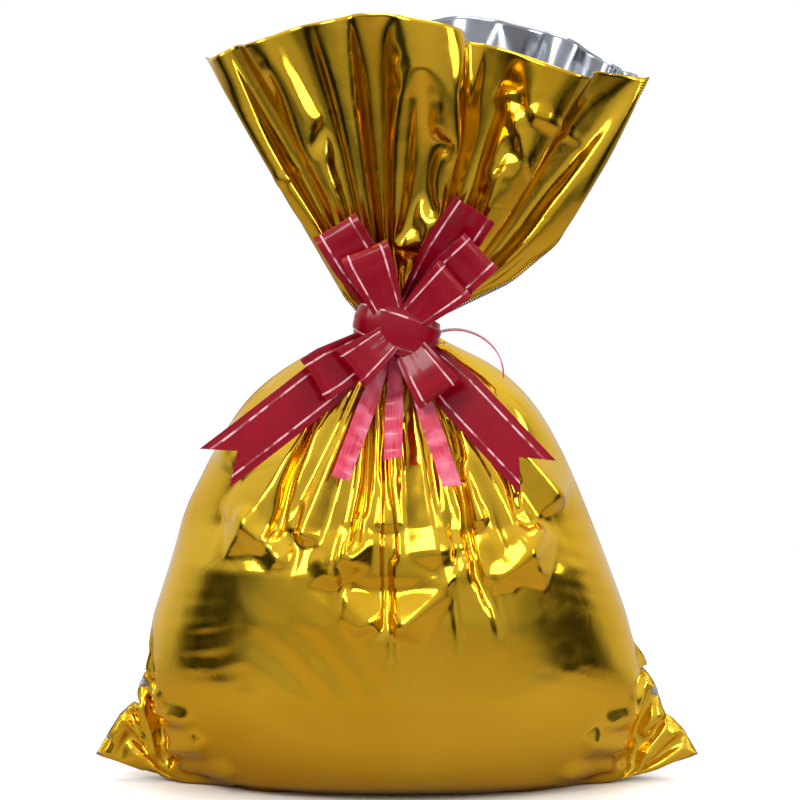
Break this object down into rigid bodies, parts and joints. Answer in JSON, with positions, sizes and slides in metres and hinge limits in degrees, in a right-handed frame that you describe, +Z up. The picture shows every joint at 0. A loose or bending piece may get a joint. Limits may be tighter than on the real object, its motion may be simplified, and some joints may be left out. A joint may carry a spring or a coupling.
{
  "type": "gift bag",
  "caption": "Stuffed gold metallised-film gift sack, gathered and tied at the neck, with a flared open collar above and a crimson ribbon pull bow in front.",
  "frame": {"origin": "centre of the footprint, on the surface that the bag stands on", "axes": "+Z up, -Y towards the front, where the bow is, +X to the right seen from the front"},
  "size_m": [0.4, 0.1662, 0.504],
  "materials": {
    "gold_film": "metallised gold outside, silver inside, mirror gloss",
    "ribbon": "glossy crimson plastic ribbon with two raised pinstripes",
    "pull_string": "narrow translucent crimson plastic ribbon",
    "stuffing": "loosely crumpled tissue paper"
  },
  "bodies": {
    "belly": {"front_panel": "gold_film", "back_panel": "gold_film", "filling": "stuffing", "neck_gather": "gold_film"},
    "collar": {"front_collar": "gold_film", "back_collar": "gold_film"},
    "bow": {"neck_tie": "pull_string", "tie_knot": "pull_string", "bow_centre": "ribbon", "upper_left_outer_loop": "ribbon", "upper_left_inner_loop": "ribbon", "upper_right_outer_loop": "ribbon", "upper_right_inner_loop": "ribbon", "lower_left_outer_loop": "ribbon", "lower_left_inner_loop": "ribbon", "lower_right_loop": "ribbon", "left_tail_root": "ribbon", "right_tail_root": "ribbon", "back_ribbon_end": "ribbon", "left_string_end": "pull_string", "middle_string_end": "pull_string", "right_string_end": "pull_string", "side_string_end": "pull_string"},
    "left_tail": {"left_tail": "ribbon"},
    "right_tail": {"right_tail": "ribbon"}
  },
  "joints": [
    {"name": "collar_nod", "type": "hinge", "parent": "belly", "child": "collar", "pos_m": [0, 0, 0.318], "axis": [-1, 0, 0], "range_deg": [0, 30], "stiffness_Nm_per_rad": 0.08},
    {"name": "bow_swivel", "type": "hinge", "parent": "belly", "child": "bow", "pos_m": [0, 0, 0.304], "axis": [0, 0, 1], "range_deg": [-6, 6]},
    {"name": "left_tail_lift", "type": "hinge", "parent": "bow", "child": "left_tail", "pos_m": [-0.05298, -0.04794, 0.26408], "axis": [-0.6018, 0, 0.7986], "range_deg": [0, 40]},
    {"name": "right_tail_lift", "type": "hinge", "parent": "bow", "child": "right_tail", "pos_m": [0.04056, -0.04791, 0.262], "axis": [-0.7193, 0, -0.6947], "range_deg": [0, 40]}
  ]
}
